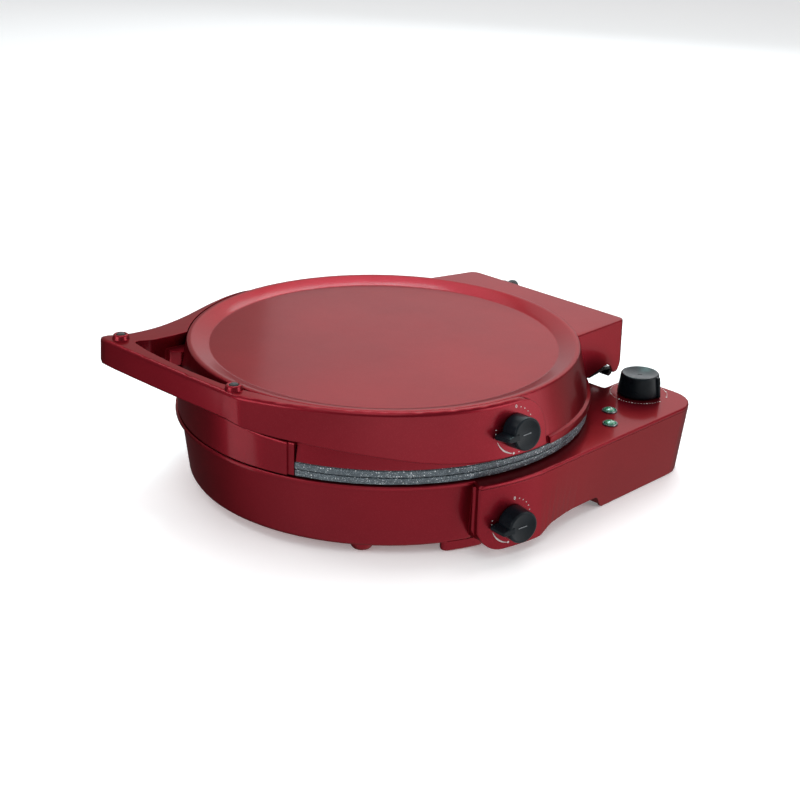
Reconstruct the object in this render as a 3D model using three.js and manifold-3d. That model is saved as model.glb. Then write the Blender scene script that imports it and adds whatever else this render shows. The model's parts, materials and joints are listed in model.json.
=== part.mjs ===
// Electric pizza maker: round double-sided cooker with a hinged lid, loop handle, side control panel, two thermostats and a timer.
// Millimetres, +Z up, handle towards -Y, hinge towards +Y, control panel on the +X side.
// Everything is laid out about the axis of the round plates with Z = 0 on the table, and the whole group is then shifted
// so that the origin is the bottom centre of the bounding box.
import * as THREE from "three";
import { mergeVertices } from "three/addons/utils/BufferGeometryUtils.js";
import Module from "manifold-3d";

// ---------- driving dimensions ----------
const SHIFT_X = -14.53, SHIFT_Y = -17.86; // round axis -> bounding box centre
const SEG = 84; // segments of the large circles
// heights above the table
const Z_LID = 141; // lid rim
const Z_DISC = 135; // recessed disc of the lid
const Z_FRAME = 74; // top of the base frame and control panel
const Z_COVER = 8; // underside of the base
const Z_WALL = 89.6; // lower edge of the lid wall
// lid
const LID_R = 190, LAND_R = 184, DISC_R = 169, WALL_SLOPE = 0.206, SKIN = 2.6;
const BLOCK = { left: -80, right: 125.8, rear: 220, top: 140.2 };
// hinge axis
const HINGE_Y = 208.5, HINGE_Z = 84, BARREL_R = 5, PIN_R = 2.3;
const REAR_FLAT = 190; // the base is cut flat behind, under the hinge block
// base
const FLANGE_R = 202, BASE_TOP_R = 197, BASE_LOW_R = 189.6, PANEL_X = 215, PANEL_Y = 235.5, NOTCH_X = 127.6, NOTCH_Y = 190;
const PAD_R = 215.5, PAD_A0 = -22;
// plates
const PLATE_R = 201, COOK_R = 167;
// controls
const UP_AZ = -9.4, UP_Z = 114.2, UP_R = 199.7, UP_TILT = 6.5; // dial face of the upper thermostat, square to the leaning tab
const LO_AZ = -12.5, LO_Z = 34.5, LO_R = 215.5; // dial face of the lower thermostat
const KNOB_R = 15.7, KNOB_H = 18;
const TIMER = { x: 159.8, y: 203.9, r0: 21.5, r1: 18.8, h: 22, az: 9 };
const LAMPS = [[169.1, 144.5], [189.4, 119]];
// lead between the housings
const LEAD_X = -37, LEAD_R = 4.2, LEAD_Z = 131.2;

// ---------- small tools ----------
const wasm = await Module();
wasm.setup();
const { Manifold, Mesh: Raw } = wasm;
const rad = (d) => (d * Math.PI) / 180;

// A closed three.js geometry as a solid for the boolean cuts.
function solid(geometry) {
  const g = geometry.index ? geometry.toNonIndexed() : geometry;
  const bare = new THREE.BufferGeometry().setAttribute("position", g.getAttribute("position"));
  const m = mergeVertices(bare, 1e-4);
  const idx = m.index.array, tri = [];
  for (let i = 0; i < idx.length; i += 3)
    if (idx[i] !== idx[i + 1] && idx[i + 1] !== idx[i + 2] && idx[i] !== idx[i + 2]) tri.push(idx[i], idx[i + 1], idx[i + 2]);
  const make = (t) => new Manifold(new Raw({ numProp: 3, vertProperties: m.attributes.position.array, triVerts: new Uint32Array(t) }));
  let s = make(tri);
  if (s.volume() < 0) {
    const back = [];
    for (let i = 0; i < tri.length; i += 3) back.push(tri[i], tri[i + 2], tri[i + 1]);
    s = make(back);
  }
  return s;
}
const join = (...s) => s.reduce((a, b) => a.add(b));
const cut = (a, ...s) => s.reduce((x, b) => x.subtract(b), a);

// Solid of revolution about Z from [radius, height] pairs.
function lathe(profile, seg = SEG, closed = false) {
  const pts = profile.map(([r, z]) => new THREE.Vector2(Math.max(r, 0), z));
  if (closed) pts.push(pts[0].clone());
  return solid(new THREE.LatheGeometry(pts, seg).rotateX(Math.PI / 2));
}
// Prism from a plan outline.
function prism(loop, z0, z1, holes = []) {
  const shape = new THREE.Shape(loop.map(([x, y]) => new THREE.Vector2(x, y)));
  for (const h of holes) shape.holes.push(new THREE.Path(h.map(([x, y]) => new THREE.Vector2(x, y))));
  return solid(new THREE.ExtrudeGeometry(shape, { depth: z1 - z0, bevelEnabled: false }).translate(0, 0, z0));
}
const box = (x0, x1, y0, y1, z0, z1) =>
  solid(new THREE.BoxGeometry(x1 - x0, y1 - y0, z1 - z0).translate((x0 + x1) / 2, (y0 + y1) / 2, (z0 + z1) / 2));
const rod = (r, z0, z1, seg = 24, r1 = r) =>
  solid(new THREE.CylinderGeometry(r1, r, z1 - z0, seg).rotateX(Math.PI / 2).translate(0, 0, (z0 + z1) / 2));
// Moves a solid with a three.js matrix.
const moved = (s, m) => s.transform(m.elements);
// Local frame on a dial face: +z points outward along azimuth az, +x is up, origin on the face.
function dialFrame(az, r, z, tilt = 0) {
  const a = rad(az), t = rad(tilt);
  const n = new THREE.Vector3(Math.cos(a) * Math.cos(t), Math.sin(a) * Math.cos(t), Math.sin(t));
  const up = new THREE.Vector3(-Math.cos(a) * Math.sin(t), -Math.sin(a) * Math.sin(t), Math.cos(t));
  return new THREE.Matrix4().makeBasis(up, new THREE.Vector3().crossVectors(n, up), n).setPosition(Math.cos(a) * r, Math.sin(a) * r, z);
}
// Local frame that looks rearward: +z along +Y.
const rearward = (x, y, z) => new THREE.Matrix4().makeRotationX(-Math.PI / 2).setPosition(x, y, z);
const at = (x, y, z = 0) => new THREE.Matrix4().makeTranslation(x, y, z);

// Smooth line through points, count samples.
function smooth(points, count, closed = false) {
  const c = new THREE.CatmullRomCurve3(points.map(([x, y]) => new THREE.Vector3(x, y, 0)), closed, "centripetal");
  return c.getSpacedPoints(count).map((p) => [p.x, p.y]);
}
// Outline with rounded corners: [x, y, radius] triples, steps per corner.
function rounded(points, steps = 6) {
  const out = [], n = points.length;
  points.forEach(([x, y, r = 0], i) => {
    if (!r) return void out.push([x, y]);
    const p = new THREE.Vector2(x, y), a = new THREE.Vector2(...points[(i + n - 1) % n]), b = new THREE.Vector2(...points[(i + 1) % n]);
    const u = a.sub(p).normalize(), v = b.sub(p).normalize(), half = Math.acos(u.dot(v)) / 2, t = r / Math.tan(half);
    const s = p.clone().addScaledVector(u, t), e = p.clone().addScaledVector(v, t);
    const c = p.clone().addScaledVector(u.clone().add(v).normalize(), r / Math.sin(half));
    let a0 = Math.atan2(s.y - c.y, s.x - c.x), a1 = Math.atan2(e.y - c.y, e.x - c.x);
    if (a1 - a0 > Math.PI) a1 -= 2 * Math.PI;
    if (a0 - a1 > Math.PI) a1 += 2 * Math.PI;
    for (let k = 0; k <= steps; k++) {
      const t2 = a0 + ((a1 - a0) * k) / steps;
      out.push([c.x + r * Math.cos(t2), c.y + r * Math.sin(t2)]);
    }
  });
  return out;
}
const arc = (r, a0, a1, n, cx = 0, cy = 0) =>
  Array.from({ length: n + 1 }, (_, i) => [cx + r * Math.cos(rad(a0 + ((a1 - a0) * i) / n)), cy + r * Math.sin(rad(a0 + ((a1 - a0) * i) / n))]);
// Counter-clockwise outline moved outward by d(x, y), each corner along its mitre.
function offset(loop, d) {
  const n = loop.length, f = typeof d === "function" ? d : () => d;
  return loop.map(([x, y], i) => {
    const [ax, ay] = loop[(i + n - 1) % n], [bx, by] = loop[(i + 1) % n];
    const l1 = Math.hypot(x - ax, y - ay) || 1, l2 = Math.hypot(bx - x, by - y) || 1;
    const n1 = [(y - ay) / l1, -(x - ax) / l1], n2 = [(by - y) / l2, -(bx - x) / l2];
    let mx = n1[0] + n2[0], my = n1[1] + n2[1];
    const l = Math.hypot(mx, my) || 1, k = Math.max((mx * n1[0] + my * n1[1]) / l, 0.45);
    return [x + (mx / l / k) * f(x, y), y + (my / l / k) * f(x, y)];
  });
}
// Skins a stack of rings with equal counts, rings run counter-clockwise and upward.
function loft(rings) {
  const pos = [], n = rings[0].length;
  const put = (...p) => p.forEach((q) => pos.push(q[0], q[1], q[2]));
  for (let k = 0; k + 1 < rings.length; k++)
    for (let i = 0; i < n; i++) {
      const j = (i + 1) % n, a = rings[k][i], b = rings[k][j], c = rings[k + 1][j], d = rings[k + 1][i];
      put(a, b, c, a, c, d);
    }
  for (const [ring, flip] of [[rings[0], true], [rings[rings.length - 1], false]])
    for (const [a, b, c] of THREE.ShapeUtils.triangulateShape(ring.map((p) => new THREE.Vector2(p[0], p[1])), []))
      flip ? put(ring[c], ring[b], ring[a]) : put(ring[a], ring[b], ring[c]);
  return solid(new THREE.BufferGeometry().setAttribute("position", new THREE.Float32BufferAttribute(pos, 3)));
}
const lift = (loop, z) => loop.map(([x, y]) => [x, y, typeof z === "function" ? z(x, y) : z]);
// Tube along a smooth path.
function tube(points, r, sides, steps, closed = false) {
  const path = new THREE.CatmullRomCurve3(points.map((p) => new THREE.Vector3(...p)), closed, "centripetal");
  const s = new THREE.Shape(arc(r, 0, 360 - 360 / sides, sides - 1).map(([x, y]) => new THREE.Vector2(x, y)));
  return solid(new THREE.ExtrudeGeometry(s, { steps, extrudePath: path, bevelEnabled: false, curveSegments: 1 }));
}

// ---------- materials ----------
const paint = (color, roughness, metalness) => new THREE.MeshStandardMaterial({ color, roughness, metalness });
const RED = paint(0x8a1624, 0.28, 0.35), STONE = paint(0x2c3336, 0.75, 0.1), BLACK = paint(0x121417, 0.35, 0.05);
const STEEL = paint(0xa8acb0, 0.4, 0.9), DARK = paint(0x1c1d1f, 0.5, 0.6), RUBBER = paint(0x0d0e0f, 0.85, 0), GREEN = paint(0x1c9a5a, 0.15, 0);
const WHITE = paint(0xd8d6cf, 0.5, 0), BRASS = paint(0xb08d4a, 0.4, 0.9);

const root = new THREE.Group();
const group = new THREE.Group();
group.position.set(SHIFT_X, SHIFT_Y, 0);
root.add(group);
function node(name, s, material) {
  const m = s.getMesh(), n = m.numProp, v = new Float32Array(m.numVert * 3);
  for (let i = 0; i < m.numVert; i++) v.set(m.vertProperties.subarray(i * n, i * n + 3), i * 3);
  const g = new THREE.BufferGeometry().setAttribute("position", new THREE.BufferAttribute(v, 3)).setIndex(new THREE.BufferAttribute(m.triVerts, 1));
  const mesh = new THREE.Mesh(g, material);
  mesh.name = name;
  group.add(mesh);
  return mesh;
}

// ---------- lid shell: dished round top, flared wall and hinge block, one moulding ----------
const wallR = (z) => LID_R + WALL_SLOPE * (Z_LID - z);
const lidRound = (e) => lathe([
  [0, Z_DISC + e], [DISC_R - 1 - e * 0.4, Z_DISC + e], [DISC_R + 1, Z_DISC + 0.5 + e], [LAND_R, Z_LID + e], [LID_R - 1.6 + e, Z_LID + e], [LID_R - 0.4 + e, Z_LID - 0.5 + e],
  [LID_R + 0.25 + e, Z_LID - 1.8], [wallR(Z_WALL) + e, Z_WALL], [wallR(Z_WALL) + e, Z_WALL - (e > 0 ? 14 : 0)], [0, Z_WALL - (e > 0 ? 14 : 0)]]);
const lidRoundIn = lathe([
  [0, Z_DISC - SKIN], [DISC_R - 0.6, Z_DISC - SKIN], [LAND_R + 0.4, Z_LID - SKIN - 0.3], [LID_R - SKIN + 0.2, Z_LID - SKIN - 0.8],
  [wallR(Z_WALL) - SKIN, Z_WALL], [wallR(Z_WALL) - SKIN, Z_WALL - 1], [0, Z_WALL - 1]], 56);
const blockTop = rounded([
  [60, 60], [BLOCK.right, 60], [BLOCK.right, BLOCK.rear, 8], [BLOCK.left + 1, BLOCK.rear, 11], [-95.5, 164], [-96, 150], [-60, 60]], 6);
const blockLoft = (e, zt) => {
  const at2 = (z, d) => lift(offset(blockTop, d + e + 0.012 * (BLOCK.top - z)), z);
  return loft(e === 0
    ? [at2(84, 0), at2(zt - 1.6, 0), at2(zt - 0.5, -0.45), at2(zt, -1.5)]
    : [at2(83, 0), at2(zt, 0)]);
};
// everything of the block below this side profile is open
const blockUnder = solid(new THREE.ExtrudeGeometry(new THREE.Shape([
  [30, 60], [30, 89.6], [158, 90.4], [186, 96.6], [193.5, 97.4], [199.5, 94.5], [203.2, 87], [204, 86.4], [208.9, 86.4], [210.4, 87.2], [216, 95.4], [245, 95.4], [245, 60]]
  .map(([y, z]) => new THREE.Vector2(y, z))), { depth: 300, bevelEnabled: false })
  .applyMatrix4(new THREE.Matrix4().set(0, 0, 1, -120, 1, 0, 0, 0, 0, 1, 0, 0, 0, 0, 0, 1)));
const upDial = dialFrame(UP_AZ, UP_R, UP_Z, UP_TILT), loDial = dialFrame(LO_AZ, LO_R, LO_Z);
const shaftUp = moved(rod(4.6, -24, 6, 20), upDial);
const glandLid = moved(rod(6.4, -6, 6, 20), rearward(LEAD_X, BLOCK.rear, LEAD_Z));
const withinRim = rod(187.2, 60, 160, SEG);
const lidOuter = join(lidRound(0), cut(blockLoft(0, BLOCK.top), blockUnder, withinRim));
const lidInner = join(lidRoundIn, cut(blockLoft(-SKIN, BLOCK.top - SKIN), withinRim));
// bosses under the block for the hinge straps
const strapAt = [[113.6, 182], [-74, 182]];
const lidBosses = strapAt.map(([x, y]) => cut(moved(rod(5, 133.3, BLOCK.top - 1.2, 20), at(x, y)), moved(rod(2.1, 130, 137.3, 12), at(x, y))));
const skirtSector = prism([[0, 0], ...arc(320, -240.8, -67.7, 14)], 0, 200);
const skirtRoom = lathe([[190, 70], [225, 70], [225, 104.2], [190, 104.2]], SEG, true).intersect(skirtSector);
// short flared lip along the lower edge of the wall, between the dial tab and the block
const lip = lathe([[197, Z_WALL], [203.1, Z_WALL], [203.1, 93.6], [202.3, 95.7], [wallR(96.7) - 0.2, 96.7], [197, 96.7]], SEG, true).intersect(prism([[0, 0], ...arc(320, 3.3, 50.5, 8)], 0, 200));
const lidShell = join(cut(lidOuter, lidInner, shaftUp, glandLid, skirtRoom), cut(lip, lidRoundIn), ...lidBosses);
node("lid_shell", lidShell, RED);

// ---------- handle frame: waisted arm, straight bar, long front wing and dial tab ----------
const wingAt = (az, r) => [r * Math.cos(rad(az)), r * Math.sin(rad(az))];
const handleOuter = smooth([
  wingAt(2.4, 196.6), wingAt(-5, 196.5), wingAt(-15, 196.3), wingAt(-25, 196), wingAt(-36, 195.2), wingAt(-46, 194.7), wingAt(-56, 195), wingAt(-64, 196.5), wingAt(-70, 198.8),
  wingAt(-75, 201.6), wingAt(-80, 205.2), [24, -206.6], [5, -207.6], [-20, -208.2], [-90, -208.8], [-150, -208.3], [-168, -207.6], [-177, -206.2], [-180.6, -202.2], [-179, -197], [-173, -188],
  [-168.6, -176], [-166.4, -162], [-166, -148], [-167.4, -134], [-170.2, -119], [-174.4, -102], [-180, -84], [-185.6, -66], [-190, -48], [-192.6, -32], [-193, -16], [-191, -2]], 92);
const handleLoop = [...handleOuter, [-170, 8], [-120, 10], [-40, -60], [60, -60], [150, 8]].reverse();
const azOf = (x, y) => (Math.atan2(y, x) * 180) / Math.PI;
// underside height along the frame, from the bar round to the dial tab
const under = (x, y) => {
  const a = azOf(x, y);
  if (x < -40 || a < -92) return 115.4;
  const t = [[-92, 115.4], [-87, 114.7], [-84, 113.2], [-81, 111.6], [-78, 110.6], [-72, 109.3], [-66, 108], [-61, 106.4], [-56, 104.6], [-51, 102.8], [-46, 100.6], [-41, 98.4], [-36, 95.8], [-31, 93.8], [-25, 91.8], [-20, 90.6], [-14, 90.1], [5, 90]];
  for (let i = 1; i < t.length; i++) if (a <= t[i][0]) return t[i - 1][1] + ((t[i][1] - t[i - 1][1]) * (a - t[i - 1][0])) / (t[i][0] - t[i - 1][0]);
  return 90;
};
const flare = (x, y) => { // how far the face leans out per mm of depth
  const a = azOf(x, y);
  return a < -84 || a > 20 ? 0.03 : a < -70 ? 0.03 + (0.1 * (a + 84)) / 14 : 0.125;
};
const inside = (x, y) => Math.hypot(x, y) < 186 && y > -180;
const ringAt = (d, zf) => {
  const off = offset(handleLoop, (x, y) => (inside(x, y) ? 0 : d + flare(x, y) * (Z_LID - zf(x, y))));
  return off.map(([x, y], i) => [x, y, zf(...handleLoop[i])]);
};
let handle = loft([
  ringAt(-0.9, under), ringAt(0, (x, y) => under(x, y) + 1.5), ringAt(-0.1, () => Z_LID - 3.6), ringAt(-1, () => Z_LID - 1.2), ringAt(-3, () => Z_LID)]);
// finger opening, closing to a narrow groove behind the front boss
const openLoop = rounded([
  [-118, -118], [-134.4, -132, 3], [-134.6, -150, 20], [-138.2, -174, 20], [-147.5, -190.3, 4.5], [-118, -195.4, 60], [-80, -198.2, 80], [-50, -199, 60], [-12, -197.6, 30], [14, -193.2, 20], [40, -186.4, 10], [52, -180], [30, -150], [-60, -120]], 4);
const opening = (d, z0, z1) => prism(offset(openLoop, d), z0, z1);
const roundKeep = lathe([[0, 160], [LID_R + 0.35, 160], [LID_R + 0.35, Z_LID - 1.8], [wallR(Z_WALL) + 0.35, Z_WALL], [wallR(Z_WALL) + 0.35, 70], [0, 70]]);
const handleInside = (d, z0, z1, dr) => {
  // hollow of the arm and bar, d inside every wall
  const outer = loft([lift(offset(handleLoop, (x, y) => (inside(x, y) ? 0 : -d)), z0), lift(offset(handleLoop, (x, y) => (inside(x, y) ? 0 : -d)), z1)]);
  const open = opening(d, z0 - 1, z1 + 1);
  return cut(outer, open, lathe([[0, z0 - 1], [wallR(z0) + dr, z0 - 1], [wallR(z1) + dr, z1 + 1], [0, z1 + 1]]), box(-14, 300, -300, 100, z0 - 2, z1 + 2), box(-300, 300, -70, 100, z0 - 2, z1 + 2));
};
// gusset column in the inner corner of the opening
const gusset = prism(rounded([[-142, -124], [-144, -140], [-143, -159, 3], [-128.5, -160.5, 6], [-119.5, -155, 4], [-114, -142], [-114, -126]], 3), 115.4, 129);
const bossAt = [[-161, -193.6], [8, -197.6]];
const boss = (x, y) => moved(lathe([[0, 138], [8.4, 138], [8.4, 141.4], [7.9, 142.4], [7.5, 144.4], [6.6, 145.5], [5.4, 145.7], [4.6, 145.2], [4.6, 142.6], [0, 142.6]], 26), at(x, y));
const coverScrewAt = [[-157, -195.4], [-150, -158]];
handle = cut(join(cut(handle, opening(0, 80, 160)), gusset), handleInside(2.8, 112, 137.6, 3.2));
handle = join(handle, ...coverScrewAt.map(([x, y]) => cut(moved(rod(4, 118.6, 139, 16), at(x, y)), moved(rod(2.1, 110, 132, 12), at(x, y)))));
handle = cut(join(handle, ...bossAt.map(([x, y]) => boss(x, y))), roundKeep);
// rounded upper end of the dial tab
const tabCorner = (() => {
  const c = 34, s0 = 38.5, arcPts = arc(c, 0, 90, 10, s0 - c, 107).map(([s, z]) => [s, z]);
  const pts = [...arcPts, [s0 - c, 160], [s0 + 30, 160], [s0 + 30, 80], [s0, 80]].map(([s, z]) => new THREE.Vector2(z - UP_Z, -s));
  return moved(solid(new THREE.ExtrudeGeometry(new THREE.Shape(pts), { depth: 60, bevelEnabled: false }).translate(0, 0, -40)), dialFrame(UP_AZ, UP_R, UP_Z));
})();
handle = cut(handle, tabCorner, shaftUp);
node("handle_frame", handle, RED);
node("handle_bottom_cover", cut(handleInside(3.2, 115.8, 118, 3.6), box(-142, -114, -158, -126, 100, 120), ...coverScrewAt.map(([x, y]) => moved(rod(2.2, 110, 120, 12), at(x, y)))), BLACK);
const bossNames = ["lid_foot_left", "lid_foot_right"];
bossAt.forEach(([x, y], i) => node(bossNames[i], moved(lathe([[0, 142.9], [4.2, 142.9], [4.2, 145.5], [3.5, 146.2], [2, 146.7], [0, 146.8]], 22), at(x, y)), RUBBER));

// ---------- lid skirt: the deeper wall at the front left that closes over the plate edges ----------
const wedge = (a0, a1, r = 320) => prism([[0, 0], ...arc(r, a0, a1, 12)], 0, 200);
const SKIRT_A0 = -69.8, SKIRT_END = -68.05, SKIRT_A1 = -240.5; // from the front step round the left side to the block; the end steps in
const skirtR = (a) => 199.9 + 3.5 * THREE.MathUtils.smoothstep(a, -128, -84);
const skirtLoop = (d) => [...Array.from({ length: 64 }, (_, i) => {
  const a = SKIRT_A1 + ((SKIRT_A0 - SKIRT_A1) * i) / 63, r = skirtR(a) + d;
  return [r * Math.cos(rad(a)), r * Math.sin(rad(a))];
}), ...[SKIRT_A0 + 0.04, SKIRT_END].map((a) => wingAt(a, skirtR(a) - 1.9 + d))];
const skirtRing = (d, z) => lift([[-8, 20], ...skirtLoop(d)], z);
const skirtTop = (down) => (x, y) => (y > -60 ? 114.7 : Math.min(under(x, y) - 0.9, 114.7)) - down;
const skirtOut = loft([skirtRing(-0.6, 76), skirtRing(0, 76.6), skirtRing(0.4, skirtTop(2.6)), skirtRing(0, skirtTop(1)), skirtRing(-1.2, skirtTop(0))]);
const skirtIn = lathe([[0, 70], [197.7, 70], [197.7, 101], [193.2, 101], [193.2, 103.9], [wallR(103.9) + 0.52, 103.9], [wallR(114.7) + 0.52, 114.7], [wallR(114.7) + 0.52, 117], [0, 117]]);
const skirt = cut(skirtOut, skirtIn, handle.translate([0, 0, -0.6]), box(-158, -134, -147, -121, 113.2, 118));
node("lid_skirt", skirt, RED);

// ---------- cooking plates ----------
const LUGS = [90, 210, 330].map((a) => [64 * Math.cos(rad(a)), 64 * Math.sin(rad(a))]);
const lugs = (z0, z1, b0, b1) => LUGS.map(([x, y]) => cut(moved(rod(5, z0, z1, 16), at(x, y)), moved(rod(2.1, b0, b1, 10), at(x, y))));
// the plate rims are narrower where the skirt closes over them
const rimTrim = lathe([[197.4, 60], [210, 60], [210, 95], [197.4, 95]], SEG, true).intersect(prism([[0, 0], ...arc(320, SKIRT_A1 - 0.6, SKIRT_END + 0.12, 14)], 0, 200));
node("upper_plate", cut(join(lathe([
  [0, 98], [COOK_R, 98], [COOK_R + 3, 96.6], [176, 84], [179, 82.4], [PLATE_R - 0.8, 82.4], [PLATE_R, 83.2], [PLATE_R, 87.8], [PLATE_R - 0.6, 88.5], [199.6, 88.5], [199.4, 89.25], [196.4, 89.25], [196, 88.5],
  [183, 88.5], [173.4, 101.4], [168, 102.5], [0, 102.5]], 48), ...lugs(102, 113.7, 105, 115)), rimTrim), STONE);
node("lower_plate", cut(join(lathe([
  [0, 55.5], [168, 55.5], [172, 56.6], [182.4, 74.6], [186.9, 74.6], [187, 74.35], [191, 74.35], [191.4, 75.4], [PLATE_R - 1.4, 75.4], [PLATE_R - 0.5, 76.2], [PLATE_R - 0.5, 81], [PLATE_R - 1.3, 81.8], [180, 81.8],
  [177, 80.2], [COOK_R + 4, 61.6], [COOK_R, 60], [0, 60]], 48), ...lugs(44.3, 56, 43, 53)), rimTrim), STONE);

// ---------- heating elements: bent tube, both ends turned away from the plate ----------
function element(z, dir) {
  const pts = [];
  const ends = (a) => [Math.cos(rad(a)) * 118, Math.sin(rad(a)) * 118];
  const [ax, ay] = ends(-4), [bx, by] = ends(-26);
  pts.push([ax, ay, z + dir * 16], [ax, ay, z + dir * 7]);
  for (let a = 4; a <= 326; a += 16.1) pts.push([Math.cos(rad(a)) * 118, Math.sin(rad(a)) * 118, z]);
  pts.push([bx, by, z + dir * 7], [bx, by, z + dir * 16]);
  return tube(pts, 3.4, 6, 42);
}
node("upper_element", element(106.8, 1), DARK);
node("lower_element", element(51.2, -1), DARK);

// ---------- heat reflectors over the elements ----------
const terminalGap = (z0, z1) => join(...[-4, -26].map((a) => moved(rod(8, z0, z1, 14), at(Math.cos(rad(a)) * 118, Math.sin(rad(a)) * 118))));
node("upper_reflector", cut(lathe([[0, 114], [147, 114], [157, 103.2], [163, 102.9], [163, 103.9], [157.7, 104.2], [147.7, 115], [0, 115]], 28), terminalGap(105, 125), ...LUGS.map(([x, y]) => moved(rod(2.2, 110, 120, 10), at(x, y)))), STEEL);
node("lower_reflector", cut(lathe([[0, 44], [147, 44], [157, 54.8], [163, 55.1], [163, 54.1], [157.7, 53.8], [147.7, 43], [0, 43]], 28), terminalGap(35, 50), ...LUGS.map(([x, y]) => moved(rod(2.2, 40, 48, 10), at(x, y)))), STEEL);

// ---------- base frame: ring round the lower plate, pad ledge and control panel, one moulding ----------
const housingTop = rounded([
  [150, -50], [PAD_R * Math.cos(rad(PAD_A0)), PAD_R * Math.sin(rad(PAD_A0)), 3],
  ...arc(PAD_R, PAD_A0 + 1.6, -3, 10), ...[-4, 4, 12, 20, 28, 36, 46, 60, 82, 110, 150].map((y) => [PANEL_X, y]), [PANEL_X, PANEL_Y, 33],
  [NOTCH_X, PANEL_Y, 6], [NOTCH_X, NOTCH_Y, 2.5], [66, NOTCH_Y], [60, 120]], 6);
const ramp = (t, a, b) => Math.min(Math.max((t - a) / (b - a), 0), 1);
// the side wall leans in towards the table
const housingAt = (z, d = 0) => {
  const h = 0.13 * (Z_FRAME - z);
  return offset(housingTop, d).map(([x, y]) => [x - h * ramp(x, 150, 205) * THREE.MathUtils.smoothstep(y, -16, 50), y, z]);
};
const SEAM = 70.7;
const frameEdge = loft([housingAt(SEAM, -0.25), housingAt(SEAM + 0.3, 0), housingAt(Z_FRAME - 1.6, 0), housingAt(Z_FRAME - 0.5, -0.5), housingAt(Z_FRAME, -1.6)]);
const ringFull = lathe([[0, 70.4], [FLANGE_R, 70.4], [FLANGE_R, Z_FRAME - 1.2], [FLANGE_R - 0.4, Z_FRAME - 0.4], [FLANGE_R - 1.2, Z_FRAME], [0, Z_FRAME]]);
const behind = (y, z0, z1) => box(-130, NOTCH_X - 0.4, y, 260, z0, z1);
const shaftTimer = moved(rod(4.5, 60, 80, 20), at(TIMER.x, TIMER.y));
const lampHoles = join(...LAMPS.map(([x, y]) => moved(rod(6.4, 60, 80, 24), at(x, y))));
const frame = cut(join(frameEdge, ringFull), lathe([[0, 60], [186.3, 60], [186.3, 80], [0, 80]], 60), behind(REAR_FLAT, 60, 90), shaftTimer, lampHoles);
node("base_frame", frame, RED);

// ---------- base shell: bowl, dial pad and panel housing ----------
const bowl = lathe([[0, Z_COVER], [184.5, Z_COVER], [187.6, Z_COVER + 1.6], [BASE_LOW_R, Z_COVER + 5], [BASE_TOP_R, 70], [0, 70]]);
const bowlIn = lathe([[0, Z_COVER + 2.6], [183.4, Z_COVER + 2.6], [186.8, 14], [BASE_TOP_R - SKIN, 69.8], [BASE_TOP_R - SKIN, 71], [0, 71]], 56);
// recess in the rear wall that takes the lead when the lid lies open
const alcove = (d) => box(-62 - d, -12 + d, 177 - d, 210, -2, 61);
const vents = join(...[-40, 0, 40].flatMap((x) => [-1, 1].map((q) => box(x - 3.5, x + 3.5, q * 62 - 24, q * 62 + 24, 0, 12))));
const housing = loft([housingAt(0.6), housingAt(SEAM - 0.7, 0), housingAt(SEAM - 0.3, -0.25)]);
const padBead = moved(rod(2.3, 2, 70.2, 14), at(190, -75.1));
const housingIn = loft([housingAt(-1, -2.8), housingAt(72, -2.8)]);
// lower edge of the side: up at the middle, down to the table behind, rounded under the dial
const sideUnder = solid(new THREE.ExtrudeGeometry(new THREE.Shape([
  [-300, -5], [95, -5], [94, 0.4], [91.6, 1.6], [84, 12.6], [80.6, 14.4], [8, 14.4], [2, 12.8], [-8, 8.6], [-14, 8], [-300, 8]]
  .map(([y, z]) => new THREE.Vector2(y, z))), { depth: 220, bevelEnabled: false })
  .applyMatrix4(new THREE.Matrix4().set(0, 0, 1, 60, 1, 0, 0, 0, 0, 1, 0, 0, 0, 0, 0, 1)));
const padCorner = (() => {
  const c = 27, s0 = 35.6; // left edge of the pad from the dial axis, and its lower corner radius
  const pts = [...arc(c, 180, 270, 10, -s0 + c, Z_COVER + c), [-s0 + c, -10], [-s0 - 30, -10], [-s0 - 30, Z_COVER + c]].map(([s, z]) => new THREE.Vector2(z - LO_Z, -s));
  return moved(solid(new THREE.ExtrudeGeometry(new THREE.Shape(pts), { depth: 60, bevelEnabled: false }).translate(0, 0, -40)), dialFrame(LO_AZ, LO_R, LO_Z));
})();
const shaftLow = moved(rod(4.6, -30, 6, 20), loDial);
const bracketScrewAt = [[84, 62], [20, 62], [-74, 62]];
const bracketHoles = join(...bracketScrewAt.map(([x, z]) => moved(rod(2.1, -8, 8, 12), rearward(x, REAR_FLAT, z))));
const glandBase = moved(rod(6.4, -8, 8, 20), rearward(LEAD_X, 177, 24));
const mainsFrame = rearward(160, PANEL_Y, 34);
const glandMains = moved(rod(6.2, -12, 8, 18), mainsFrame);
const feetAt = [[108.7, -134], [-108.7, -134], [-118, 128]];
const foot = (x, y) => moved(lathe([[0, 0], [6.4, 0], [8.6, 0.9], [10.4, 3.4], [11, 6], [11, 10], [0, 10]], 16), at(x, y));
const skid = (a0, a1) => { // long foot with round ends along the edge of the base
  const end = (a, from) => arc(5.6, from + a, from + a + 180, 6, 182.6 * Math.cos(rad(a)), 182.6 * Math.sin(rad(a)));
  const plan = [...arc(188.2, a0, a1, 7).slice(1, -1), ...end(a1, 0), ...arc(177, a1, a0, 5).slice(1, -1), ...end(a0, 180)];
  return loft([lift(offset(plan, -2.2), 0), lift(offset(plan, -0.8), 0.7), lift(plan, 2.4), lift(plan, 10)]);
};
const shellOuter = join(cut(bowl, behind(REAR_FLAT - 0.2, -10, 90), alcove(0)), cut(join(housing, padBead), sideUnder, padCorner), ...feetAt.map(([x, y]) => foot(x, y)), skid(-26.4, -16.6), skid(196.6, 206.4));
const bowlHollow = cut(bowlIn, behind(REAR_FLAT - 0.2 - SKIN, -10, 90), alcove(SKIN));
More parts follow.
